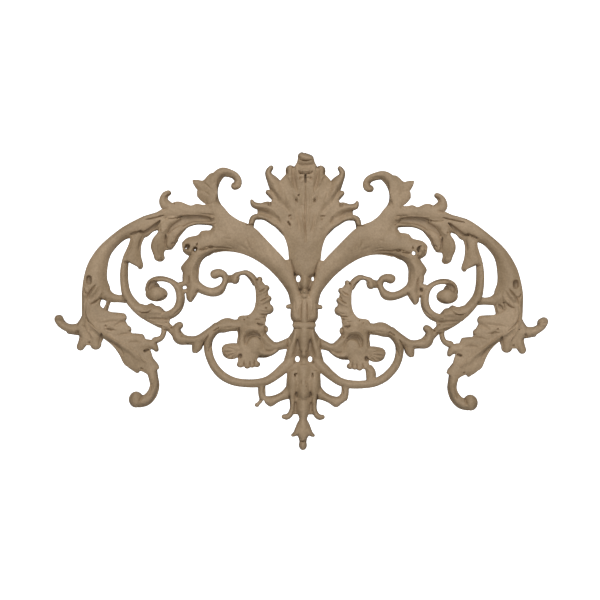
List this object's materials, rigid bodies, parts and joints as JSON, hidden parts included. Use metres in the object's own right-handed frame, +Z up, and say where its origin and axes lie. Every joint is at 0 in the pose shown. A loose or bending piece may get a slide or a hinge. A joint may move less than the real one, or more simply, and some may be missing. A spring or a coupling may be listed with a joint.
{
  "type": "scroll applique moulding",
  "caption": "Openwork scroll applique with a fluted palmette over a small baluster, leafy C-scrolls to each side and a pendant drop, cast in one piece with a flat back.",
  "frame": {"origin": "on the flat back, behind the foot of the little baluster in the middle", "axes": "+X to the right as seen from the front, +Y out of the flat back into the wall, +Z up; the relief rises towards -Y"},
  "size_m": [0.2955, 0.0114, 0.1784],
  "materials": {
    "tan_composition": "matte unpainted composition or resin, tan, with darker hollows"
  },
  "bodies": {
    "root": {"scroll_applique": "tan_composition"}
  },
  "joints": []
}
